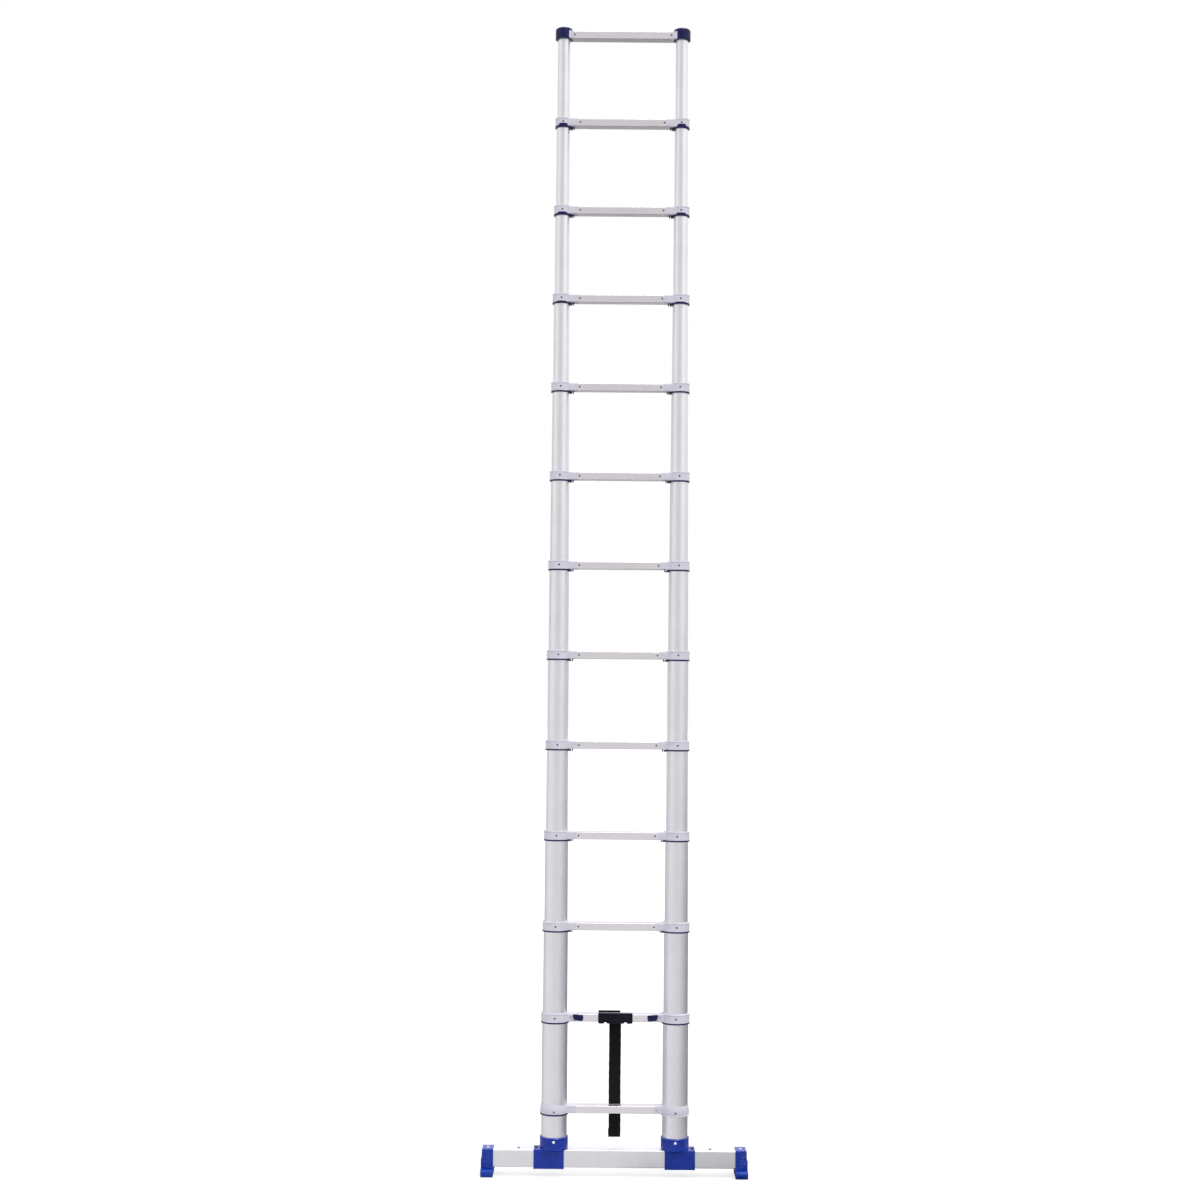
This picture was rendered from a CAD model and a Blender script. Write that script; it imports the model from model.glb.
# Looks of a telescoping ladder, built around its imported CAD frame. Lengths are in metres.
# +Z runs up the stiles, +X across the rungs, and -Y is the side that the camera sees.
import functools
import math

import bmesh
import bpy
from mathutils import Matrix, Vector


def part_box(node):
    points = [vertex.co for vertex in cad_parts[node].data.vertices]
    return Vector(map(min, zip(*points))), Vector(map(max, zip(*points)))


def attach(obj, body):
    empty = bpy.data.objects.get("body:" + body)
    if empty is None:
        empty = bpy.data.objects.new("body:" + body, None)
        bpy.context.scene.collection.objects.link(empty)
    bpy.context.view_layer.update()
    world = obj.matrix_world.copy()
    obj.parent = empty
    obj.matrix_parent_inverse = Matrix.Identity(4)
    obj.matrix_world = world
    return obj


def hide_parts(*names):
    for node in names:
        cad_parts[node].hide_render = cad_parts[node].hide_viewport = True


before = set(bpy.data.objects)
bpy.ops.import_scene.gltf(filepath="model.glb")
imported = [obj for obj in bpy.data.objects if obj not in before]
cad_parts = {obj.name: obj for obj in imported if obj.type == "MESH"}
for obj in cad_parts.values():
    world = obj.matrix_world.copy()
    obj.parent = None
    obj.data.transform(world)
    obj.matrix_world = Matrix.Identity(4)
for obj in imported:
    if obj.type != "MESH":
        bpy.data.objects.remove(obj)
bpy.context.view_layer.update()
scene = bpy.context.scene

# ---- the frame's dimensions ----

RUNGS = 13
FIRST_SLIDE = 3                      # the lowest section that slides
RUNG_HALF_DEPTH, RUNG_HALF_HEIGHT = 0.022, 0.0125
RUNG_CORNER = 0.003
NECK_LEN = 0.024                     # from a collar's side to its rung
TOP_NECK_LEN = 0.003
TONGUE = 0.020                       # what a neck puts inside its rung
LINER_FLANGE = 0.0005
LINER_LOW = 0.0045                   # height of the lower collars' liners
LINER_STEP = 0.003                   # how much taller each of the three highest liners is
SNUG = 0.00008                       # space between a tube and what grips it
PIN_R = 0.004
RIVET_IN = 0.0065                    # from a rung's end to its rivets
TOP_RIVET_IN = 0.0045
TRIGGER_REACH = 0.009                # from a collar's side to its trigger
SCREW_Z = 0.001                      # height of a collar's screw above its rung's centre
LOW_SCREW_Z = -0.0045                # and on the lowest collar
BUTTON_W = 0.035
AXIS = 0.0001                        # the radius at which a lathed profile is closed
SAME = 1e-6                          # two coordinates nearer than this are the same
SMALL_HEAD = (0.0029, 0.0012)        # radius and height of the rivets' and collar screws' heads
TINY_HEAD = (0.0018, 0.0009)
LARGE_HEAD = (0.0044, 0.0016)
BOTTOM_TUBE_R = 0.042
STILE_X = round(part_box("bottom_tubes")[1].x - BOTTOM_TUBE_R, 3)
SIDES = {"left": -1, "right": 1}


@functools.lru_cache(maxsize=None)
def node_box(node):
    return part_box(node)


def centre(node):
    low, high = node_box(node)
    return (low + high) / 2


@functools.lru_cache(maxsize=None)
def rung_z(k):
    return round(centre(f"rung_{k}").z, 4)


def tube_r(k):
    name = "bottom_tubes" if k < FIRST_SLIDE else f"stile_tubes_{k}"
    return node_box(name)[1].x - STILE_X


def collar_r(k):
    if k == RUNGS:
        return node_box("top_caps")[1].x - STILE_X
    return node_box(f"rung_collars_{k}")[1].x - STILE_X - LINER_FLANGE


def body_of(k):
    return "base" if k < FIRST_SLIDE else f"section_{k}"


def neck_end(k):
    return STILE_X - collar_r(k) - (TOP_NECK_LEN if k == RUNGS else NECK_LEN)


# ---- mesh helpers ----

def add_piece(name, mesh_data, material, slot, body, sharp=38):
    """Makes a piece from a bmesh, gives it its material and lets it ride on a body."""
    mesh = bpy.data.meshes.new(name)
    bmesh.ops.recalc_face_normals(mesh_data, faces=mesh_data.faces)
    mesh_data.to_mesh(mesh)
    mesh_data.free()
    mesh.polygons.foreach_set("use_smooth", [True] * len(mesh.polygons))
    mesh.set_sharp_from_angle(angle=math.radians(sharp))
    mesh.materials.append(material)
    piece = bpy.data.objects.new(name, mesh)
    scene.collection.objects.link(piece)
    flatten = piece.modifiers.new("flat faces", "WEIGHTED_NORMAL")
    flatten.keep_sharp = True
    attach(piece, body)
    return piece


def ring_faces(bm, rings, close_ends=True, loop=False):
    """Joins rings of equally many vertices with quads."""
    count = len(rings[0])
    pairs = list(zip(rings, rings[1:])) + ([(rings[-1], rings[0])] if loop else [])
    for first, second in pairs:
        for i in range(count):
            j = (i + 1) % count
            bm.faces.new((first[i], first[j], second[j], second[i]))
    if close_ends and not loop:
        bm.faces.new(list(reversed(rings[0])))
        bm.faces.new(rings[-1])


def lathe(bm, profile, at, steps=96, wobble=None):
    """Turns a closed profile of (radius, height) about a vertical axis through at."""
    rings = []
    for i in range(steps):
        turn = 2 * math.pi * i / steps
        points = profile if wobble is None else wobble(turn)
        rings.append([bm.verts.new((at[0] + r * math.sin(turn), at[1] - r * math.cos(turn), at[2] + z))
                      for r, z in points])
    ring_faces(bm, rings, loop=True)


def solid_lathe(bm, profile, at, axis="Z", steps=24):
    """Turns an open profile that starts and ends on the axis, and points it along an axis."""
    turns = {"Z": Matrix.Identity(3), "-Y": Matrix.Rotation(math.pi / 2, 3, "X"),
             "Y": Matrix.Rotation(-math.pi / 2, 3, "X"), "X": Matrix.Rotation(math.pi / 2, 3, "Y"),
             "-X": Matrix.Rotation(-math.pi / 2, 3, "Y")}
    turn = turns[axis]
    rings = []
    for r, z in profile:
        ring = []
        for i in range(steps):
            angle = 2 * math.pi * i / steps
            point = Vector((r * math.cos(angle), r * math.sin(angle), z))
            ring.append(bm.verts.new(Vector(at) + turn @ point))
        rings.append(ring)
    ring_faces(bm, rings)


def turned(profile, at, axis="Z", steps=24):
    """A new bmesh with one solid_lathe in it."""
    bm = bmesh.new()
    solid_lathe(bm, profile, at, axis, steps)
    return bm


def rounded_outline(half_w, low, high, corner, steps=5):
    """Points of a rounded rectangle in (y, z), starting at its lower back corner."""
    corner = min(corner, half_w * 0.99, (high - low) * 0.495)
    points = []
    for cy, cz, start in ((half_w - corner, low + corner, -90), (half_w - corner, high - corner, 0),
                          (-half_w + corner, high - corner, 90), (-half_w + corner, low + corner, 180)):
        for i in range(steps + 1):
            angle = math.radians(start + 90 * i / steps)
            points.append((cy + corner * math.cos(angle), cz + corner * math.sin(angle)))
    return points


def box(bm, low, high):
    """A plain block between two corners, for bevelled pieces and cutters."""
    made = bmesh.ops.create_cube(bm, size=1)["verts"]
    size = Vector(high) - Vector(low)
    middle = (Vector(high) + Vector(low)) / 2
    for vert in made:
        vert.co = Vector((vert.co.x * size.x, vert.co.y * size.y, vert.co.z * size.z)) + middle
    return made


def bevelled_box(bm, low, high, width=0.0008, segments=2):
    made = box(bm, low, high)
    edges = list({edge for vert in made for edge in vert.link_edges})
    bmesh.ops.bevel(bm, geom=edges, offset=width, segments=segments, profile=0.5, affect="EDGES")


def block(low, high, width=0.0008, segments=2):
    """A new bmesh with one bevelled_box in it."""
    bm = bmesh.new()
    bevelled_box(bm, low, high, width, segments)
    return bm


def bevel_edges(bm, wanted, width, segments, profile=0.5):
    """Bevels the edges that wanted() picks."""
    edges = [edge for edge in bm.edges if wanted(edge)]
    bmesh.ops.bevel(bm, geom=edges, offset=width, segments=segments, profile=profile, affect="EDGES",
                    clamp_overlap=True)


def in_plane(axis, at=None):
    """A test for edges that lie across an axis, anywhere along it or at one place."""
    def test(edge):
        first, second = (vert.co[axis] for vert in edge.verts)
        return abs(first - second) < SAME and (at is None or abs(first - at) < SAME)
    return test


def prism(outline, axis, start, end):
    """Extrudes an outline of two coordinates along an axis, from start to end."""
    bm = bmesh.new()
    place = {"X": lambda p, t: (t, p[0], p[1]), "Y": lambda p, t: (p[0], t, p[1]),
             "Z": lambda p, t: (p[0], p[1], t)}[axis]
    rings = [[bm.verts.new(place(point, at)) for point in outline] for at in (start, end)]
    ring_faces(bm, rings)
    return bm


def combined(base, *steps):
    """Adds or cuts bmeshes one after another. Each step is ("UNION" or "DIFFERENCE", bmesh)."""
    def holder(bm):
        mesh = bpy.data.meshes.new("work")
        bmesh.ops.recalc_face_normals(bm, faces=bm.faces)
        bm.to_mesh(mesh)
        bm.free()
        made = bpy.data.objects.new("work", mesh)
        scene.collection.objects.link(made)
        return made

    target = holder(base)
    tools = []
    for operation, bm in steps:
        tool = holder(bm)
        tools.append(tool)
        cut = target.modifiers.new("cut", "BOOLEAN")
        cut.operation = operation
        cut.object = tool
        cut.solver = "EXACT"
    depsgraph = bpy.context.evaluated_depsgraph_get()
    result = bmesh.new()
    result.from_mesh(target.evaluated_get(depsgraph).to_mesh())
    for made in [target] + tools:
        mesh = made.data
        bpy.data.objects.remove(made)
        bpy.data.meshes.remove(mesh)
    bmesh.ops.remove_doubles(result, verts=result.verts, dist=1e-6)
    return result


def mirrored(bm, side):
    """A copy of a bmesh made for the left side, turned over for the right one."""
    copy = bm.copy()
    if side == "right":
        for vert in copy.verts:
            vert.co.x = -vert.co.x
        bmesh.ops.reverse_faces(copy, faces=copy.faces)
    return copy


# ---- material helpers ----

def math_node(nodes, links, operation, first, second):
    node = nodes.new("ShaderNodeMath")
    node.operation = operation
    for value, socket in ((first, 0), (second, 1)):
        if isinstance(value, (int, float)):
            node.inputs[socket].default_value = value
        else:
            links.new(value, node.inputs[socket])
    return node.outputs[0]


def mixed_colour(nodes, links, factor, first, second):
    mixed = nodes.new("ShaderNodeMix")
    mixed.data_type = "RGBA"
    for value, socket in ((factor, 0), (first, 6), (second, 7)):
        if isinstance(value, tuple):
            mixed.inputs[socket].default_value = (*value, 1)
        else:
            links.new(value, mixed.inputs[socket])
    return mixed.outputs[2]


def mapped_range(nodes, links, value, start, end, low=0.0, high=1.0, kind="LINEAR"):
    node = nodes.new("ShaderNodeMapRange")
    node.interpolation_type = kind
    for key, number in (("From Min", start), ("From Max", end), ("To Min", low), ("To Max", high)):
        node.inputs[key].default_value = number
    links.new(value, node.inputs["Value"])
    return node.outputs["Result"]


def split_xyz(nodes, links, vector):
    split = nodes.new("ShaderNodeSeparateXYZ")
    links.new(vector, split.inputs["Vector"])
    return split.outputs


class Shader:
    """A Principled material with short ways to add noise, ramps and bump."""

    def __init__(self, name, colour, roughness, metallic=0.0, **inputs):
        self.material = bpy.data.materials.new(name)
        self.material.use_nodes = True
        self.nodes = self.material.node_tree.nodes
        self.links = self.material.node_tree.links
        self.main = self.nodes["Principled BSDF"]
        self.main.inputs["Base Color"].default_value = (*colour, 1)
        self.main.inputs["Roughness"].default_value = roughness
        self.main.inputs["Metallic"].default_value = metallic
        for key, value in inputs.items():
            self.main.inputs[key.replace("_", " ")].default_value = value
        self.place = self.nodes.new("ShaderNodeTexCoord").outputs["Object"]

    def noise(self, scale, detail=3.0, stretch=(1, 1, 1)):
        mapping = self.nodes.new("ShaderNodeMapping")
        mapping.inputs["Scale"].default_value = stretch
        self.links.new(self.place, mapping.inputs["Vector"])
        noise = self.nodes.new("ShaderNodeTexNoise")
        noise.inputs["Scale"].default_value = scale
        noise.inputs["Detail"].default_value = detail
        self.links.new(mapping.outputs["Vector"], noise.inputs["Vector"])
        return noise.outputs["Fac"]

    def ramp(self, value, low, high, start=0.3, end=0.7):
        """Maps a value to a range of numbers."""
        return mapped_range(self.nodes, self.links, value, start, end, low, high)

    def mix(self, factor, first, second):
        return mixed_colour(self.nodes, self.links, factor, first, second)

    def scaled(self, colour, factor):
        node = self.nodes.new("ShaderNodeVectorMath")
        node.operation = "SCALE"
        node.inputs["Scale"].default_value = factor
        self.links.new(colour, node.inputs[0])
        return node.outputs[0]

    def math(self, operation, first, second):
        return math_node(self.nodes, self.links, operation, first, second)

    def bump(self, height, strength, distance):
        bump = self.nodes.new("ShaderNodeBump")
        bump.inputs["Strength"].default_value = strength
        bump.inputs["Distance"].default_value = distance
        self.links.new(height, bump.inputs["Height"])
        self.links.new(bump.outputs["Normal"], self.main.inputs["Normal"])

    def colour(self, value):
        self.links.new(value, self.main.inputs["Base Color"])

    def roughness(self, value):
        self.links.new(value, self.main.inputs["Roughness"])


def aluminium(name, colour, dark, roughness, stretch, trodden=1.0):
    """Satin anodised aluminium, with fine drawing lines along the extrusion and faint handling marks.

    trodden is how bright the surfaces that face up are beside the others.
    """
    shader = Shader(name, colour, roughness, metallic=1.0)
    lines = shader.noise(1.0, 6, stretch)
    marks = shader.noise(18, 4)
    base = shader.mix(shader.ramp(marks, 0.0, 0.5, 0.4, 0.75), colour, dark)
    normal = shader.nodes.new("ShaderNodeNewGeometry").outputs["Normal"]
    upward = shader.ramp(split_xyz(shader.nodes, shader.links, normal)["Z"], 0.0, 1.0, 0.6, 0.9)
    shader.colour(shader.mix(upward, base, shader.scaled(base, trodden)))
    shader.roughness(shader.ramp(lines, roughness - 0.05, roughness + 0.07))
    shader.bump(lines, 0.12, 0.0002)
    return shader.material


def moulded(name, colour, worn, roughness, grain=1400, depth=0.00008, **inputs):
    """Moulded plastic with a fine grain, soft mottling and lighter rubbed edges."""
    shader = Shader(name, colour, roughness, **inputs)
    mottling = shader.noise(45, 5)
    edges = shader.nodes.new("ShaderNodeNewGeometry").outputs["Pointiness"]
    sharp_edges = shader.ramp(edges, 0.0, 1.0, 0.52, 0.62)
    rubbed = shader.math("MULTIPLY", sharp_edges, shader.ramp(mottling, 0.2, 0.7))
    base = shader.mix(shader.ramp(mottling, 0.0, 0.3), colour, worn)
    shader.colour(shader.mix(rubbed, base, worn))
    shader.roughness(shader.ramp(mottling, roughness - 0.05, roughness + 0.08))
    shader.bump(shader.noise(grain, 2), 0.25, depth)
    return shader.material


def webbing_material():
    """Black woven polyester: a fine herringbone of threads along and across the strap."""
    shader = Shader("webbing", (0.006, 0.006, 0.006), 0.9, Specular_IOR_Level=0.2)
    threads = []
    for direction, scale in (("X", 230), ("Z", 290)):
        wave = shader.nodes.new("ShaderNodeTexWave")
        wave.bands_direction = direction
        wave.inputs["Scale"].default_value = scale
        wave.inputs["Distortion"].default_value = 0.6
        shader.links.new(shader.place, wave.inputs["Vector"])
        threads.append(wave.outputs["Fac"])
    weave = shader.math("MULTIPLY", threads[0], threads[1])
    dust = shader.noise(60, 5)
    black = shader.mix(shader.ramp(dust, 0.0, 0.6), (0.004, 0.004, 0.004), (0.008, 0.008, 0.008))
    shader.colour(shader.mix(shader.ramp(weave, 0.0, 0.4, 0.0, 1.0), black, (0.013, 0.013, 0.014)))
    shader.bump(weave, 0.5, 0.0003)
    return shader.material


def thread_material():
    shader = Shader("stitching", (0.02, 0.02, 0.02), 0.7)
    shader.colour(shader.mix(shader.noise(900, 2), (0.012, 0.012, 0.012), (0.05, 0.05, 0.05)))
    return shader.material


def metal(name, colour, roughness):
    """Plain zinc-plated or painted small metal, with a little unevenness."""
    shader = Shader(name, colour, roughness, metallic=0.9)
    uneven = shader.noise(300, 3)
    shader.roughness(shader.ramp(uneven, roughness - 0.06, roughness + 0.1))
    shader.colour(shader.mix(uneven, colour, tuple(0.8 * part for part in colour)))
    return shader.material


STILE = aluminium("stile_aluminium", (0.84, 0.83, 0.86), (0.76, 0.75, 0.79), 0.33, (900, 900, 6))
RUNG = aluminium("rung_aluminium", (0.865, 0.825, 0.86), (0.795, 0.755, 0.79), 0.27, (6, 900, 900), 0.84)
BAR = aluminium("bar_aluminium", (0.86, 0.85, 0.885), (0.79, 0.78, 0.815), 0.45, (6, 900, 900))
COLLAR = moulded("collar_plastic", (0.58, 0.57, 0.64), (0.72, 0.72, 0.80), 0.38)
BLUE = moulded("blue_plastic", (0.001, 0.021, 0.27), (0.01, 0.07, 0.46), 0.24, Specular_IOR_Level=0.33)
NAVY = moulded("navy_plastic", (0.0008, 0.0006, 0.044), (0.01, 0.01, 0.13), 0.26, Specular_IOR_Level=0.3)
BLACK = moulded("black_plastic", (0.0010, 0.0010, 0.008), (0.006, 0.006, 0.016), 0.4, Specular_IOR_Level=0.16)
DARK = moulded("dark_fastener", (0.02, 0.02, 0.05), (0.05, 0.05, 0.10), 0.4, Specular_IOR_Level=0.3)
WHITE = moulded("white_screw", (0.85, 0.86, 0.92), (0.95, 0.95, 0.98), 0.3)
STEEL = metal("fastener_steel", (0.62, 0.62, 0.64), 0.3)
WEBBING = webbing_material()
THREAD = thread_material()


def dress(node, material):
    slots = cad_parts[node].data.materials
    if len(slots):
        slots[0] = material
    else:
        slots.append(material)


dress("bottom_tubes", STILE)
dress("stabiliser_bar", BAR)
for side in SIDES:
    dress(f"lock_pin_{side}", STEEL)
for k in range(FIRST_SLIDE, RUNGS + 1):
    dress(f"stile_tubes_{k}", STILE)


# ---- rungs ----

def tread_outline():
    """The rung's outer section in (y, z): rounded edges, and grip ridges along the top."""
    points = rounded_outline(RUNG_HALF_DEPTH, -RUNG_HALF_HEIGHT, RUNG_HALF_HEIGHT, RUNG_CORNER)
    quarter = len(points) // 4
    top = []
    ridge, groove, deep = 0.0038, 0.0012, 0.0007
    for i in range(5):
        y = (2 - i) * (ridge + groove)
        for dy, drop in ((groove / 2, 0), (groove / 4, deep), (-groove / 4, deep), (-groove / 2, 0)):
            top.append((y + dy, RUNG_HALF_HEIGHT - drop))
    return points[:2 * quarter] + top + points[2 * quarter:]


def tread(k):
    """The hollow rung between its two necks."""
    bm = bmesh.new()
    outer = tread_outline()
    wall = 0.0016
    inner = []
    for y, z in outer:
        inner.append((max(-RUNG_HALF_DEPTH + wall, min(RUNG_HALF_DEPTH - wall, y)),
                      max(-RUNG_HALF_HEIGHT + wall, min(RUNG_HALF_HEIGHT - wall - 0.0006, z))))
    x = neck_end(k) - 0.00005
    rings = []
    for outline, at in ((outer, -x), (outer, x), (inner, x), (inner, -x)):
        rings.append([bm.verts.new((at, y, rung_z(k) + z)) for y, z in outline])
    ring_faces(bm, rings, loop=True)
    return bm


def pan_head(r, h):
    """Profile of a low domed head with a small recess in its middle, and a stub of its shank."""
    shank_r, stub = r * 0.55, 0.0012
    return [(AXIS, -stub), (shank_r, -stub), (shank_r, 0), (r, 0), (r, h * 0.35), (r * 0.86, h * 0.8),
            (r * 0.6, h), (r * 0.34, h), (r * 0.28, h * 0.45), (AXIS, h * 0.4)]


def cylinder(r, length):
    """Profile of a plain cylinder, for cutters."""
    return [(AXIS, 0), (r, 0), (r, length), (AXIS, length)]


def rung_rivets(k):
    """The four rivets of a rung, two in front and two behind. The lowest rung has none in front."""
    bm = bmesh.new()
    x = neck_end(k) - (TOP_RIVET_IN if k == RUNGS else RIVET_IN)
    y = RUNG_HALF_DEPTH + 0.00005
    places = (("-Y", -y), ("Y", y))
    for sx in (-1, 1):
        for axis, face_y in places[1:] if k == 1 else places:
            solid_lathe(bm, pan_head(*SMALL_HEAD), (sx * x, face_y, rung_z(k)), axis)
    return bm


def rung_pins(k):
    """The two lock pins inside a sliding rung, with rounded noses."""
    bm = bmesh.new()
    nose = STILE_X - tube_r(k + 1) - 0.0003
    tail = neck_end(k) - TONGUE + 0.001
    length = nose - tail
    profile = [(AXIS, 0), (PIN_R - 0.0004, 0), (PIN_R, 0.0004), (PIN_R, length - 0.0012),
               (PIN_R - 0.0005, length - 0.0003), (PIN_R - 0.0016, length), (AXIS, length)]
    solid_lathe(bm, profile, (tail, 0, rung_z(k)), "X")
    solid_lathe(bm, profile, (-tail, 0, rung_z(k)), "-X")
    return bm


for k in range(1, RUNGS + 1):
    node = f"rung_{k}"
    made = [add_piece(f"tread_{k}", tread(k), RUNG, "rung_aluminium", body_of(k))]
    if k != 2:
        made.append(add_piece(f"rung_rivets_{k}", rung_rivets(k), DARK, "navy_plastic", body_of(k)))
    if FIRST_SLIDE <= k < RUNGS:
        made.append(add_piece(f"lock_pins_{k}", rung_pins(k), STEEL, "fastener_steel", body_of(k)))
    for piece in made:
        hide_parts(node)


# ---- collars ----

ROOT_DEPTH = 0.0020                  # how deep a neck's root goes into its collar's wall
TRIGGER_HALF_T = 0.002               # half a trigger's thickness along the rung
TRIGGER_HALF_W = 0.008               # half its width
TRIGGER_HALF_ARM = 0.010             # half the width over its arms


def liner_height(k):
    return LINER_LOW + LINER_STEP * max(0, k - RUNGS + 4)


def neck(k, r, low):
    """The arm from a collar to its rung, on the left. Its root stays inside the collar's round wall."""
    bm = bmesh.new()
    length = STILE_X - r - neck_end(k)
    z = rung_z(k)
    root = r - 0.0012
    rings = []
    rim = 0.1 if k == 2 else 0.3     # the thumb buttons pass close to the second rung's necks
    # how far along the neck, and how swollen it is there
    stations = ((0.0, 1.0), (0.12, 0.55), (0.28, 0.2), (0.5, 0.0),
                (0.86, 0.0), (0.88, rim), (0.99, rim), (1.0, 0.0))
    for t, swell in stations:
        grow = 0.0026 * swell
        wide = min(RUNG_HALF_DEPTH + grow, root * 0.93)
        bottom = max(low + 0.0001, -RUNG_HALF_HEIGHT - grow * 0.2)
        ring = []
        for y, dz in rounded_outline(wide, bottom, RUNG_HALF_HEIGHT + grow, RUNG_CORNER):
            straight = -STILE_X + r + t * length
            curved = -STILE_X + math.sqrt(max(root * root - y * y, 0))
            follow = max(0.0, 1 - t / 0.5)
            ring.append(bm.verts.new((straight + (curved - straight) * follow, y, z + dz)))
        rings.append(ring)
    ring_faces(bm, rings)
    core = turned(cylinder(r - ROOT_DEPTH, 0.08), (-STILE_X, 0, z - 0.04), steps=96)
    return combined(bm, ("DIFFERENCE", core))


def collar(k):
    """The left collar with its neck, cut for the lock pin and the trigger."""
    r = collar_r(k)
    z = rung_z(k)
    low_box, high_box = node_box(f"rung_collars_{k}")
    top = high_box.z - z
    low = low_box.z - z + LINER_LOW + 0.0001
    bore = tube_r(k) + SNUG
    over = tube_r(k + 1) + 0.0003 if k > 1 else bore
    tube_top = 0.0136 if k > 1 else top - 0.0004
    lip = 0.0048
    shell = bmesh.new()
    if k == 1:
        # the lowest collar swells towards its lower edge instead of having a straight side
        outer = []
        for i in range(13):
            t = i / 12
            tuck = 0.0030 * max(0.0, (t - 0.35) / 0.65) ** 2 + 0.0012 * max(0.0, (0.2 - t) / 0.2) ** 2
            outer.append((r - tuck, low + (top - low) * t))
    else:
        outer = [(r - 0.0006, low), (r, low + 0.0006), (r, top - lip - 0.0008),
                 (r - 0.0006, top - lip - 0.0004), (r - 0.0006, top - lip), (r + 0.0004, top - lip + 0.0004),
                 (r + 0.0004, top - 0.0014), (r, top - 0.0005), (r - 0.0008, top)]
    inner = [(over + 0.0006, top), (over, top - 0.0006), (over, tube_top), (bore, tube_top), (bore, low)]
    if k == 1:
        inner = [(bore + 0.0004, top), (bore, top - 0.0006), (bore, low)]
    lathe(shell, outer + inner, (-STILE_X, 0, z))
    steps = [("UNION", neck(k, r, low))]
    if k > 1:
        steps.append(("DIFFERENCE", turned(cylinder(PIN_R + 0.0003, 0.09), (-STILE_X + 0.002, 0, z), "X")))
    if k >= FIRST_SLIDE:
        x = -STILE_X + r + TRIGGER_REACH
        half_x = TRIGGER_HALF_T + 0.0003
        for half_y, floor_z in ((TRIGGER_HALF_W + 0.0003, z - 0.03), (TRIGGER_HALF_ARM + 0.0003, z + 0.0007)):
            pocket = bmesh.new()
            box(pocket, (x - half_x, -half_y, floor_z), (x + half_x, half_y, z + 0.0094))
            steps.append(("DIFFERENCE", pocket))
    return combined(shell, *steps)


def liner(k):
    """The liner's ring under the left collar. On the highest collars it rises in front and behind."""
    r = collar_r(k)
    z = rung_z(k)
    low = node_box(f"rung_collars_{k}")[0].z - z
    bore = tube_r(k) + SNUG
    extra = liner_height(k) - LINER_LOW
    height = LINER_LOW
    bm = bmesh.new()

    def section(turn):
        front = abs(math.cos(turn))
        rise = extra * max(0.25, min(1.0, (front - 0.79) / 0.09))
        edge = r + 0.0007
        return [(bore, low), (edge - 0.0008, low), (edge, low + 0.0008), (edge, low + height - 0.0010 + rise),
                (edge - 0.0005, low + height - 0.0003 + rise), (r + 0.0001, low + height + rise),
                (r + 0.00005, low + height), (bore, low + height)]

    lathe(bm, None, (-STILE_X, 0, z), 96, section)
    return bm


def slider_guard(k):
    """The dark guide under the left neck, beside the trigger."""
    x = -STILE_X + tube_r(k)
    z = rung_z(k)
    return block((x + 0.0008, -0.010, z - 0.0203), (x + 0.0095, 0.010, z - 0.0150), 0.0012)


def neck_pin(x, z):
    """A small pin in the front of a neck."""
    return turned(pan_head(*TINY_HEAD), (x, -RUNG_HALF_DEPTH, z), "-Y")


def collar_screw(k):
    """The screw in front of the left collar."""
    z = rung_z(k) + (LOW_SCREW_Z if k == 1 else SCREW_Z)
    return turned(pan_head(*SMALL_HEAD), (-STILE_X, -collar_r(k) + 0.0002, z), "-Y")


for k in range(1, RUNGS):
    node = f"rung_collars_{k}"
    parts = [("collar", collar(k), COLLAR, "collar_plastic"),
             ("collar_liner", liner(k), NAVY, "navy_plastic"),
             ("collar_screw", collar_screw(k), DARK, "navy_plastic")]
    if k >= FIRST_SLIDE:
        parts.append(("slider_guard", slider_guard(k), NAVY, "navy_plastic"))
    if k == 2:
        parts.append(("neck_pin", neck_pin(-neck_end(k) - 0.018, rung_z(k) + 0.003), DARK, "navy_plastic"))
    for name, bm, material, slot in parts:
        for side in SIDES:
            if (name, k, side) == ("collar_liner", 1, "right"):
                # this one liner is as light as its collar
                material, slot = COLLAR, "collar_plastic"
            piece = add_piece(f"{name}_{k}_{side}", mirrored(bm, side), material, slot, body_of(k))
            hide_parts(node)
        bm.free()

# the lowest rung has a pin in its right neck only
lone_pin_mesh = neck_pin(neck_end(1) + 0.008, rung_z(1))
lone_pin = add_piece("neck_pin_1_right", lone_pin_mesh, DARK, "navy_plastic", "base")
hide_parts("rung_collars_1")


# ---- release triggers ----

def trigger(k):
    """One forked slider with a rounded tip, on the left."""
    low, high = node_box(f"release_triggers_{k}")
    x = -STILE_X + collar_r(k) + TRIGGER_REACH
    x1, x2 = x - TRIGGER_HALF_T, x + TRIGGER_HALF_T
    body = block((x1, -TRIGGER_HALF_W, low.z), (x2, TRIGGER_HALF_W, high.z), 0.0009)
    arms = block((x1, -TRIGGER_HALF_ARM, high.z - 0.003), (x2, TRIGGER_HALF_ARM, high.z), 0.0004)
    fork = bmesh.new()
    z = rung_z(k)
    fork_half_w = PIN_R + 0.0003
    box(fork, (x - 0.01, -fork_half_w, z - 0.0095), (x + 0.01, fork_half_w, z + 0.02))
    return combined(body, ("UNION", arms), ("DIFFERENCE", fork))


for k in range(FIRST_SLIDE, RUNGS):
    made = trigger(k)
    for side in SIDES:
        piece = add_piece(f"release_trigger_{k}_{side}", mirrored(made, side), NAVY, "navy_plastic",
                          f"triggers_{k}")
        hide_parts(f"release_triggers_{k}")
    made.free()


# ---- top caps ----

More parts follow.
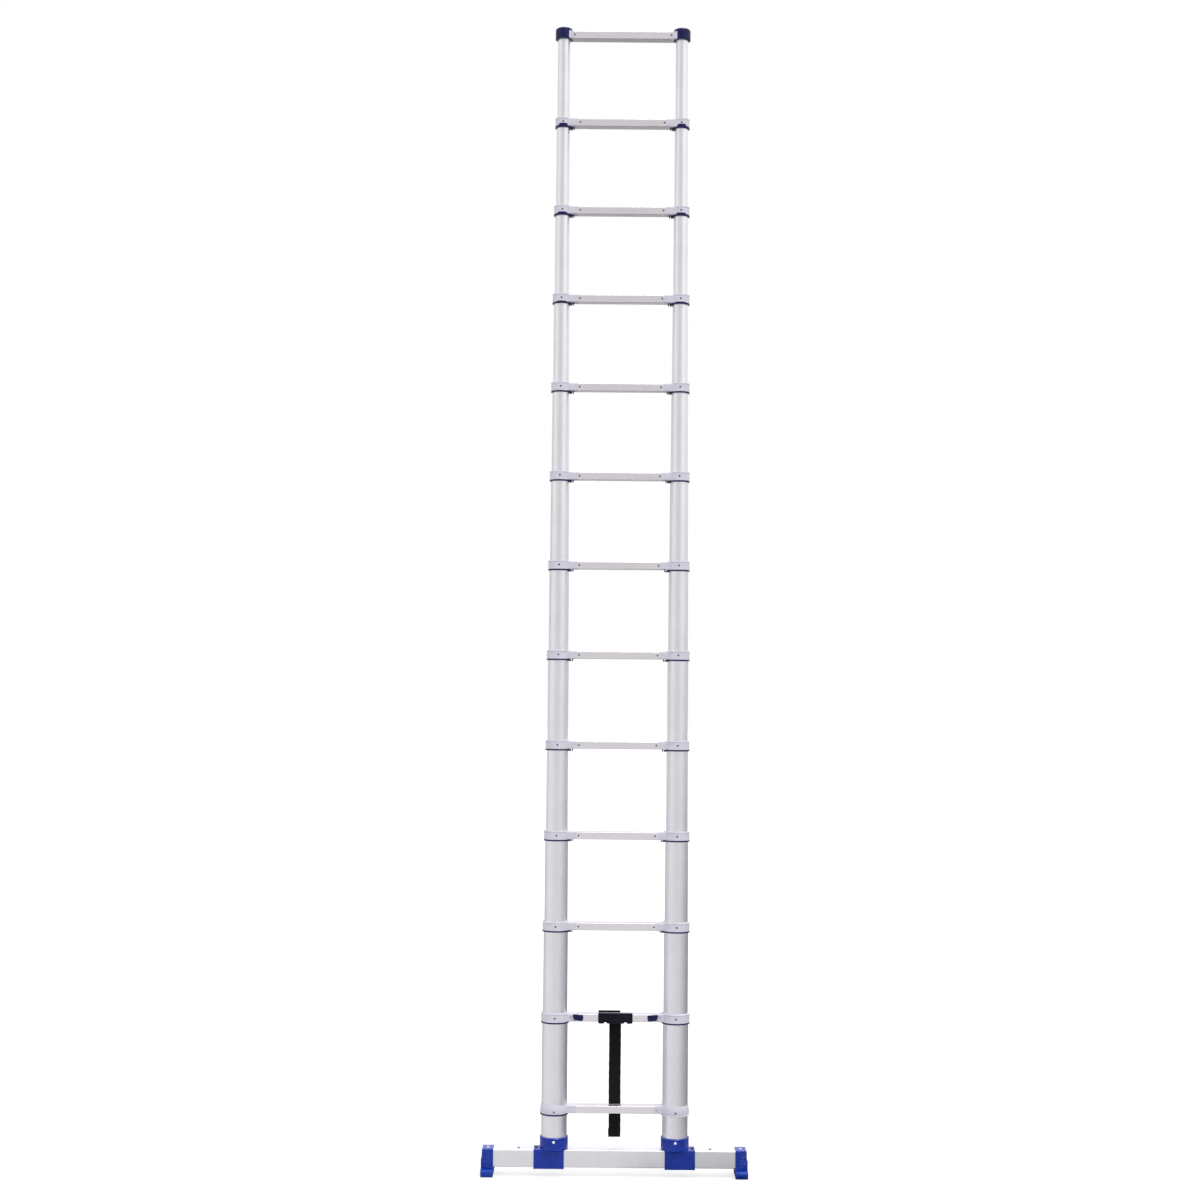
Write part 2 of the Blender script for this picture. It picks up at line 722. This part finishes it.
def top_cap():
    """The closed cap on the left top tube, with rounded shoulders and a skirt."""
    low, high = node_box("top_caps")
    r = collar_r(RUNGS)
    bore = tube_r(RUNGS) + SNUG
    height = high.z - low.z
    bm = bmesh.new()
    outer = [(bore, 0), (r - 0.0012, 0), (r - 0.0004, 0.0006), (r, 0.0016), (r, height - 0.011)]
    for i in range(1, 9):
        angle = math.radians(90 * i / 8)
        outer.append((r - 0.008 + 0.008 * math.cos(angle), height - 0.011 + 0.0085 * math.sin(angle)))
    outer += [(r - 0.012, height - 0.0012), (r - 0.020, height - 0.0002), (AXIS, height)]
    inner = [(AXIS, height - 0.004), (bore, height - 0.004)]
    lathe(bm, outer + inner, (-STILE_X, 0, low.z))
    bmesh.ops.remove_doubles(bm, verts=bm.verts, dist=0.0003)
    return bm


for side in SIDES:
    cap = add_piece(f"top_cap_{side}", mirrored(top_cap(), side), NAVY, "navy_plastic", body_of(RUNGS))
    top_neck = neck(RUNGS, collar_r(RUNGS), -RUNG_HALF_HEIGHT)
    arm = add_piece(f"top_neck_{side}", mirrored(top_neck, side), COLLAR, "collar_plastic", body_of(RUNGS))
    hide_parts("top_caps")
    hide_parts("top_caps")


# ---- base ----

WRAP = 0.0045                        # wall of the brackets and feet around the bar
COVER = 0.002                        # and above it
CUP_ABOVE = 0.001                    # from the bar's top up to the lower edge of a bracket's cup
CUP_ROOT = 0.018                     # height of the hollow taper under that edge
BLOCK_IN = 0.034                     # from a stile's centre to the inner end of its bracket's block
SOCKET_SCREW_DROP = 0.012            # from a cup's rim down to its screw
NUB_IN = 0.009                       # from a bracket's outer end to the nub on its shoulder
FOOT_SCREW_IN = 0.014                # from the bar's end to a foot's screw
BAR_RIVET_IN = 0.115                 # and to the rivet in the bar's top
BAR_LOW, BAR_HIGH = node_box("stabiliser_bar")


def arc(cx, cz, r, start, end, steps=8):
    """Points along an arc, in degrees, in a plane's two coordinates."""
    return [(cx + r * math.cos(math.radians(start + (end - start) * i / steps)),
             cz + r * math.sin(math.radians(start + (end - start) * i / steps))) for i in range(steps + 1)]


def bar_cutter(x1, x2):
    """The bar's outer shape, with a little space, for cutting what wraps it."""
    return prism(rounded_outline(BAR_HIGH.y + SNUG, BAR_LOW.z - SNUG, BAR_HIGH.z + SNUG, 0.003), "X", x1, x2)


def bracket_cup():
    """A bracket's cup on its hollow taper, with a bevelled rim and a bore for the tube."""
    high = node_box("base_bracket_left")[1]
    half_depth = BAR_HIGH.y + WRAP
    r = high.x + STILE_X
    rim_z, rim = high.z, 0.0008
    bore = BOTTOM_TUBE_R + SNUG
    cup_z = BAR_HIGH.z + CUP_ABOVE
    root_z = cup_z - CUP_ROOT
    inside_z = BAR_HIGH.z + COVER - 0.0003
    profile = [(AXIS, root_z)]
    for degrees in range(0, 91, 9):
        turn = math.radians(degrees)
        spread = (r - half_depth) * (1 - math.cos(turn))
        profile.append((half_depth - 0.001 + spread, root_z + CUP_ROOT * math.sin(turn)))
    profile += [(r, cup_z + 0.0005), (r, rim_z - 0.0050), (r + rim, rim_z - 0.0042),
                (r + rim, rim_z - 0.0016), (r - 0.0006, rim_z), (bore + 0.0016, rim_z - 0.0002),
                (bore, rim_z - 0.0022), (bore, inside_z), (AXIS, inside_z)]
    return turned(profile, (-STILE_X, 0, 0), steps=96)


def base_bracket():
    """The left bracket: a block round the bar, with a raised rim at each end, and a cup for the tube."""
    low = node_box("base_bracket_left")[0]
    half_depth = BAR_HIGH.y + WRAP
    floor_z = BAR_HIGH.z + COVER
    inner_x = -STILE_X + BLOCK_IN
    body = block((low.x, -half_depth, low.z), (inner_x, half_depth, floor_z), 0.0022, 3)
    rims = bmesh.new()
    rim_w, inset, rise = 0.0056, 0.0004, 0.0006
    for x in (low.x + inset, inner_x - inset - rim_w):
        bevelled_box(rims, (x, -half_depth - rise, low.z - rise),
                     (x + rim_w, half_depth + rise, floor_z + 0.0004), 0.0020, 3)
    return combined(body, ("UNION", rims), ("UNION", bracket_cup()),
                    ("DIFFERENCE", bar_cutter(low.x - 0.01, inner_x + 0.01)))


def sole_outline(half_len, toe_r, height):
    """Side view of a sole in (y, z): round toe and heel, and tread notches along the bottom."""
    brow = 0.0120
    points = arc(half_len - toe_r, toe_r, toe_r, -90, 0)
    points += arc(half_len - brow, height - brow, brow, 0, 90, 6)
    points += arc(-half_len + brow, height - brow, brow, 90, 180, 6)
    points += arc(-half_len + toe_r, toe_r, toe_r, 180, 270)
    for i in range(-3, 4):
        for dy, dz in ((-0.0018, 0), (-0.0014, 0.0016), (0.0014, 0.0016), (0.0018, 0)):
            points.append((i * 0.009 + dy, dz))
    return points


def foot_sole(low, high):
    """The sole from side to side, with rounded ends on both sides."""
    sole = prism(sole_outline(high.y, toe_r=0.0145, height=0.027), "X", low.x, high.x)
    bevel_edges(sole, in_plane(0), 0.0028, 3)
    return sole


def foot_ribs(outer, half_depth):
    """Grip ribs across the front, the back and the outer end."""
    ribs = bmesh.new()
    count, lowest, pitch, height, proud, length = 7, 0.044, 0.0062, 0.0026, 0.0009, 0.022
    for i in range(count):
        z = lowest + pitch * i
        bevelled_box(ribs, (outer - proud, -half_depth - proud, z),
                     (outer + length, half_depth + proud, z + height), 0.0007, 1)
    return ribs


def foot_web(outer, inner, half_depth):
    """The web that slopes down inwards, from under the ribs to a lug beside the sole."""
    foot_z, lug_z, crest_z = 0.019, 0.0285, 0.0420
    lug_x = inner + 0.0034
    crest_x1, crest_x2 = outer + 0.0115, outer + 0.0165
    slope = [(lug_x, foot_z), (lug_x, lug_z), (crest_x2, crest_z), (crest_x1, crest_z), (crest_x1, foot_z)]
    reach = half_depth + 0.0036
    web = prism(slope, "Y", -reach, reach)
    beside = in_plane(1)

    def crest(edge):
        return beside(edge) and min(vert.co.z for vert in edge.verts) > lug_z - SAME

    bevel_edges(web, crest, 0.0024, 2)
    return web


def foot():
    """The left foot: a ribbed cap over the bar's end, a slanting web and a sole with a tread."""
    low, high = node_box("foot_left")
    half_depth = BAR_HIGH.y + WRAP
    outer = low.x + 0.0035
    inner = high.x
    top = high.z
    body = block((outer, -half_depth, 0.010), (inner, half_depth, top), 0.0024, 3)
    pad_depth = half_depth - 0.001
    outer_pad = block((low.x, -pad_depth, 0.012), (outer + 0.004, pad_depth, BAR_LOW.z + 0.028), 0.0014)
    ridges = bmesh.new()
    ridge_depth, ridge_w = half_depth - 0.003, 0.008
    for x in (outer + 0.001, inner - 0.001 - ridge_w):
        bevelled_box(ridges, (x, -ridge_depth, top - 0.002), (x + ridge_w, ridge_depth, top + 0.0008), 0.0010)
    return combined(body, ("UNION", foot_sole(low, high)), ("UNION", outer_pad),
                    ("UNION", foot_ribs(outer, half_depth)), ("UNION", foot_web(outer, inner, half_depth)),
                    ("UNION", ridges), ("DIFFERENCE", bar_cutter(-BAR_HIGH.x - 0.0001, inner + 0.02)))


def base_fasteners():
    """The screws on the left half of the base, by name: mesh, material and slot."""
    floor_z = BAR_HIGH.z + COVER
    low, high = node_box("base_bracket_left")
    screw = pan_head(*LARGE_HEAD)
    nub = [(AXIS, -0.003), (0.0055, -0.003), (0.0055, 0.0016), (0.0042, 0.0030), (AXIS, 0.0034)]
    socket_screw_at = (-STILE_X, low.y, high.z - SOCKET_SCREW_DROP)
    nub_at = (low.x + NUB_IN, 0, floor_z)
    foot_screw_at = (-BAR_HIGH.x + FOOT_SCREW_IN, 0, floor_z)
    bar_rivet_at = (-BAR_HIGH.x + BAR_RIVET_IN, 0, BAR_HIGH.z)
    made = {}
    for name, profile, at, axis, material, slot in (
            ("socket_screw", screw, socket_screw_at, "-Y", WHITE, "fastener_steel"),
            ("shoulder_nub", nub, nub_at, "Z", NAVY, "navy_plastic"),
            ("foot_screw", screw, foot_screw_at, "Z", WHITE, "fastener_steel"),
            ("bar_rivet", pan_head(0.0046, 0.0016), bar_rivet_at, "Z", DARK, "navy_plastic")):
        made[name] = (turned(profile, at, axis), material, slot)
    return made


for side in SIDES:
    bracket = add_piece(f"bracket_{side}", mirrored(base_bracket(), side), BLUE, "blue_plastic", "base")
    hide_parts(f"base_bracket_{side}")
    shoe = add_piece(f"shoe_{side}", mirrored(foot(), side), BLUE, "blue_plastic", "base")
    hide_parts(f"foot_{side}")
for name, (bm, material, slot) in base_fasteners().items():
    for side in SIDES:
        piece = add_piece(f"{name}_{side}", mirrored(bm, side), material, slot, "base")
        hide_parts("base_screws")
    bm.free()


# ---- release buttons ----

def button_pad(low, high, back):
    """The thumb pad, with a larger radius at each lower corner and a rounded front edge."""
    right = low.x + BUTTON_W
    outline = arc(low.x + 0.004, high.z - 0.004, 0.004, 180, 90, 5)
    outline += arc(right - 0.005, high.z - 0.0066, 0.005, 90, 0, 5)
    outline += arc(right - 0.007, low.z + 0.006, 0.006, 0, -90, 5)
    outline += arc(low.x + 0.009, low.z + 0.0095, 0.0065, -90, -180, 5)
    pad = prism(outline, "Y", low.y, back)
    bevel_edges(pad, in_plane(1, low.y), 0.0022, 3, profile=0.6)
    return pad


def release_button():
    """The left thumb button: a dished pad with grip ridges, its shank and its carriage."""
    low, high = node_box("release_button_left")
    z = rung_z(2)
    face = -RUNG_HALF_DEPTH
    back = face - 0.0003
    middle = low.x + BUTTON_W / 2
    dish = bmesh.new()
    bmesh.ops.create_uvsphere(dish, u_segments=40, v_segments=24, radius=0.022)
    for vert in dish.verts:
        vert.co = Vector((vert.co.x * 1.1, vert.co.y, vert.co.z)) + Vector((middle, low.y - 0.0204, z))
    grips = bmesh.new()
    half_w, half_h, pitch = 0.0009, 0.006, 0.0055
    for i in (-1, 0, 1):
        x = middle + i * pitch
        bevelled_box(grips, (x - half_w, low.y + 0.0006, z - half_h), (x + half_w, low.y + 0.004, z + half_h),
                     0.0006)
    carriage_half, shank_half = 0.008, 0.006
    carriage_x = high.x - carriage_half
    start = carriage_x - carriage_half
    shank = bmesh.new()
    box(shank, (carriage_x - shank_half, back - 0.0006, z - 0.004),
        (carriage_x + shank_half, face + 0.0025, z + 0.004))
    carriage = block((start, face + 0.0019, z - 0.007), (high.x, 0.0059, z + 0.007))
    bore = turned(cylinder(PIN_R + 0.0001, 0.013), (start, 0, z), "X")
    return combined(button_pad(low, high, back), ("DIFFERENCE", dish), ("UNION", grips), ("UNION", shank),
                    ("UNION", carriage), ("DIFFERENCE", bore))


for side in SIDES:
    button = add_piece(f"thumb_button_{side}", mirrored(release_button(), side), NAVY, "navy_plastic",
                       f"release_{side}")
    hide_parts(f"release_button_{side}")


# ---- strap ----

STRAP_W = 0.040
STRAP_T = 0.0016
STRAP_STEPS = 48                     # along its hanging length
HEM = 0.026


def holder_outline(half_w, low, high):
    """Front view of a holder plate in (x, z), with round corners."""
    right = arc(half_w - 0.003, high - 0.003, 0.003, 90, 0, 4)
    right += arc(half_w - 0.005, low + 0.005, 0.005, 0, -90, 5)
    return right + [(-x, z) for x, z in reversed(right)]


def strap_holder():
    """The moulded clip round rung 2, with a slot for the strap and a lip along its rear edge."""
    low, high = node_box("strap_holder")
    z = rung_z(2)
    inner = RUNG_HALF_DEPTH + 0.00015
    top = z + RUNG_HALF_HEIGHT
    under = z - RUNG_HALF_HEIGHT
    raised = 0.0045                  # the plates' lower edges over the node's, and the front's upper edge
    notch_x, notch_r, notch_sunk = 0.033, 0.0065, 0.002
    front = prism(holder_outline(high.x, low.z + raised, top + raised), "Y", low.y, -inner)
    bevel_edges(front, in_plane(1, low.y), 0.0012, 2)
    rear = prism(holder_outline(high.x, low.z + raised, top - 0.001), "Y", inner, high.y)
    base = block((-high.x + 0.0005, low.y + 0.001, under - 0.0034),
                 (high.x - 0.0005, high.y - 0.001, under - 0.0001), 0.0005, 1)
    lip = block((-high.x + 0.001, inner, top - 0.003), (0.017, inner + 0.003, high.z + 0.0025))
    ribs = bmesh.new()
    rib_half_w, rib_half_h = 0.018, 0.0008
    for rib_z in (z - 0.005, z + 0.005):
        bevelled_box(ribs, (-rib_half_w, low.y - 0.0007, rib_z - rib_half_h),
                     (rib_half_w, low.y + 0.001, rib_z + rib_half_h), 0.0005, 1)
    slot = bmesh.new()
    strap_y = centre("closure_strap").y
    box(slot, (-STRAP_W / 2 - 0.0006, strap_y - 0.0014, low.z - 0.01),
        (STRAP_W / 2 + 0.0006, strap_y + 0.0014, z + 0.0085))
    notches = bmesh.new()
    through = high.y - low.y + 0.004
    for sx in (-1, 1):
        at = (sx * notch_x, low.y - 0.002, low.z + raised - notch_sunk)
        solid_lathe(notches, cylinder(notch_r, through), at, "Y", 40)
    return combined(front, ("UNION", rear), ("UNION", base), ("UNION", lip), ("UNION", ribs),
                    ("DIFFERENCE", slot), ("DIFFERENCE", notches))


def strap_path():
    """Centre line of the webbing, from the holder down to its folded hem, as (y, z, shift in x)."""
    low, high = node_box("closure_strap")
    y = centre("closure_strap").y
    points = []
    for i in range(STRAP_STEPS + 1):
        t = i / STRAP_STEPS
        sway = 0.0011 * math.sin(5.2 * t) * t
        points.append((y + sway, high.z - (high.z - low.z - 0.001) * t, 0.0006 * math.sin(9 * t) * t))
    y_end = points[-1][0]
    fold_r = STRAP_T / 2 + 0.00015
    for py, pz in arc(y_end - fold_r, low.z + 0.001, fold_r, -15, -165, 7):
        points.append((py, pz, -0.0004))
    hem_steps = 6
    for i in range(hem_steps + 1):
        z = low.z + 0.001 + HEM * i / hem_steps
        points.append((y_end - 2 * fold_r, z, -0.0008 - 0.0006 * i / hem_steps))
    return points


def strap():
    """The webbing as one closed band with rounded selvedges, and its length."""
    path = strap_path()
    bm = bmesh.new()
    rings = []
    columns = 14
    for i, (y, z, shift) in enumerate(path):
        before = path[max(i - 1, 0)]
        after = path[min(i + 1, len(path) - 1)]
        along = Vector((0, after[0] - before[0], after[1] - before[1])).normalized()
        across = Vector((0, -along.z, along.y))
        half = STRAP_W / 2 - 0.0002 + 0.0003 * math.sin(1.7 * i)
        ring = []
        for side in (1, -1):
            for j in range(columns + 1):
                u = (-1 + 2 * j / columns) * side
                thick = STRAP_T / 2 * (1 if abs(u) < 0.99 else 0.45)
                ring.append(bm.verts.new(Vector((shift + u * half, y, z)) + across * thick * side))
        rings.append(ring)
    ring_faces(bm, rings)
    return bm, sum(math.dist(a[:2], b[:2]) for a, b in zip(path, path[1:]))


def hem_stitches():
    """Two rows of thread across the hem, in front and behind."""
    low = node_box("closure_strap")[0]
    path = strap_path()
    front_y = min(p[0] for p in path) - STRAP_T / 2
    back_y = path[STRAP_STEPS][0] + STRAP_T / 2
    stitch = [(AXIS, -0.00085), (0.0003, -0.0006), (0.00038, 0), (0.0003, 0.0006), (AXIS, 0.00085)]
    pitch = 0.0024
    bm = bmesh.new()
    for z in (low.z + 0.005, low.z + HEM - 0.003):
        for i in range(-7, 8):
            x = i * pitch - pitch / 2
            for y in (front_y, back_y):
                solid_lathe(bm, stitch, (x, y, z), "X", 8)
    return bm


clip = add_piece("strap_clip", strap_holder(), BLACK, "black_plastic", "base")
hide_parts("strap_holder")
band_mesh, band_length = strap()
band = add_piece("strap_band", band_mesh, WEBBING, "webbing", "base", sharp=60)
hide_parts("closure_strap")
stitches = add_piece("strap_stitches", hem_stitches(), THREAD, "webbing", "base")
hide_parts("closure_strap")


# ---- camera, floor and light ----

CAMERA_AT = (-0.0625, -6.31, 1.62)
CAMERA_UP = 0.0448                   # how far above the level it looks, in radians
CAMERA_ROLL = 0.0085
LENS = 56.54                         # in mm, on a sensor of 36 mm


def camera():
    """The photograph's viewpoint: a little under half the ladder's height, looking slightly up."""
    data = bpy.data.cameras.new("camera")
    data.lens = LENS
    data.sensor_width = 36
    data.clip_end = 200
    made = bpy.data.objects.new("camera", data)
    tilt = Matrix.Rotation(math.pi / 2 + CAMERA_UP, 4, "X")
    roll = Matrix.Rotation(CAMERA_ROLL, 4, "Z")
    made.matrix_world = Matrix.Translation(CAMERA_AT) @ tilt @ roll
    scene.collection.objects.link(made)
    scene.camera = made


def overhead_light(azimuth, elevation, strength, spread):
    """A broad, even light from high above, in degrees to the right of the camera and above the floor."""
    data = bpy.data.lights.new("overhead", "SUN")
    data.energy = strength
    data.angle = math.radians(spread)
    made = bpy.data.objects.new("overhead", data)
    around, above = math.radians(azimuth), math.radians(elevation)
    level = math.cos(above)
    towards = Vector((math.sin(around) * level, -math.cos(around) * level, math.sin(above)))
    made.rotation_euler = towards.to_track_quat("Z", "Y").to_euler()
    scene.collection.objects.link(made)


# How bright the studio is around the ladder, as (degrees to the right of the camera, brightness).
# The upper part of the room has a dim wall behind the camera and a window to the right of it,
# and the lower part falls off to the right and behind the ladder.
UPPER_ROOM = ((-180, 0.35), (-120, 0.50), (-80, 0.80), (-48, 0.68), (-20, 0.54), (5, 0.52), (28, 0.74),
              (50, 0.95), (80, 0.82), (120, 0.76), (180, 0.35))
LOWER_ROOM = ((-180, 0.10), (-115, 0.64), (-60, 0.74), (0, 0.70), (25, 0.64), (50, 0.46), (85, 0.28),
              (180, 0.10))
BACKDROP = (0.95, 0.95, 0.97)        # the white wall behind the ladder
CEILING = (0.96, 0.96, 1.0)
BACKDROP_FLOOR = (12, 14.5)          # how far behind the ladder the floor turns as light as that wall
ROOM_STRENGTH = 1.25
FLOOR_SHARE = 0.72                   # the floor is this much darker, as the overhead light lights it too


def brightness_around(nodes, links, x, y, stops):
    """A colour ramp over the azimuth of (x, y), from the camera's direction, -Y."""
    angle = math_node(nodes, links, "ARCTAN2", x, math_node(nodes, links, "MULTIPLY", y, -1))
    ramp = nodes.new("ShaderNodeValToRGB")
    ramp.color_ramp.interpolation = "CARDINAL"
    elements = ramp.color_ramp.elements
    while len(elements) < len(stops):
        elements.new(0.5)
    for element, (degrees, value) in zip(elements, stops):
        element.position = degrees / 360 + 0.5
        element.color = (value, value, value, 1)
    links.new(mapped_range(nodes, links, angle, -math.pi, math.pi), ramp.inputs["Fac"])
    return ramp.outputs["Color"]


def smooth_step(nodes, links, value, start, end):
    return mapped_range(nodes, links, value, start, end, kind="SMOOTHSTEP")


def studio_world():
    """White behind the object, and for light and reflections a room with a white backdrop and ceiling."""
    world = bpy.data.worlds.new("studio")
    scene.world = world
    world.use_nodes = True
    nodes = world.node_tree.nodes
    links = world.node_tree.links
    direction = nodes.new("ShaderNodeTexCoord").outputs["Generated"]
    x, y, z = split_xyz(nodes, links, direction)
    upper = brightness_around(nodes, links, x, y, UPPER_ROOM)
    lower = brightness_around(nodes, links, x, y, LOWER_ROOM)
    walls = mixed_colour(nodes, links, smooth_step(nodes, links, z, -0.10, 0.12), lower, upper)
    behind = math_node(nodes, links, "MULTIPLY", smooth_step(nodes, links, y, 0.45, 0.9),
                       smooth_step(nodes, links, z, 0.06, 0.2))
    walls = mixed_colour(nodes, links, behind, walls, BACKDROP)
    room = mixed_colour(nodes, links, smooth_step(nodes, links, z, 0.42, 0.8), walls, CEILING)
    seen = nodes["Background"]
    seen.inputs["Color"].default_value = (1, 1, 1, 1)
    lit = nodes.new("ShaderNodeBackground")
    lit.inputs["Strength"].default_value = ROOM_STRENGTH
    links.new(room, lit.inputs["Color"])
    choice = nodes.new("ShaderNodeMixShader")
    path = nodes.new("ShaderNodeLightPath")
    links.new(path.outputs["Is Camera Ray"], choice.inputs["Fac"])
    links.new(lit.outputs["Background"], choice.inputs[1])
    links.new(seen.outputs["Background"], choice.inputs[2])
    links.new(choice.outputs["Shader"], nodes["World Output"].inputs["Surface"])


def floor():
    """A plain pale floor, lit from below so that shadows stay faint.

    The light that it throws back falls off like the lower part of the room, and far away like the upper
    part. Far behind the ladder it is as light as the backdrop.
    """
    bm = bmesh.new()
    bmesh.ops.create_circle(bm, cap_ends=True, radius=60, segments=96)
    mesh = bpy.data.meshes.new("floor")
    bm.to_mesh(mesh)
    bm.free()
    made = bpy.data.objects.new("floor", mesh)
    shader = Shader("floor", (0.93, 0.93, 0.93), 0.9)
    x, y = split_xyz(shader.nodes, shader.links, shader.place)[:2]
    near = brightness_around(shader.nodes, shader.links, x, y, LOWER_ROOM)
    far = brightness_around(shader.nodes, shader.links, x, y, UPPER_ROOM)
    distance = shader.nodes.new("ShaderNodeVectorMath")
    distance.operation = "LENGTH"
    shader.links.new(shader.place, distance.inputs[0])
    away = smooth_step(shader.nodes, shader.links, distance.outputs["Value"], 8, 45)
    room = shader.mix(away, near, far)
    behind = smooth_step(shader.nodes, shader.links, y, *BACKDROP_FLOOR)
    bounced = shader.scaled(shader.mix(behind, room, BACKDROP), FLOOR_SHARE)
    seen = shader.nodes.new("ShaderNodeLightPath").outputs["Is Camera Ray"]
    pale = shader.mix(shader.noise(0.8, 2), (0.27, 0.27, 0.27), (0.29, 0.29, 0.29))
    shader.colour(shader.mix(seen, bounced, pale))
    shader.main.inputs["Emission Color"].default_value = (1, 1, 1, 1)
    shader.links.new(shader.math("MULTIPLY", seen, 0.72), shader.main.inputs["Emission Strength"])
    mesh.materials.append(shader.material)
    scene.collection.objects.link(made)


camera()
studio_world()
floor()
scene.view_settings.view_transform = "Standard"
overhead_light(azimuth=38, elevation=66, strength=1.4, spread=20)
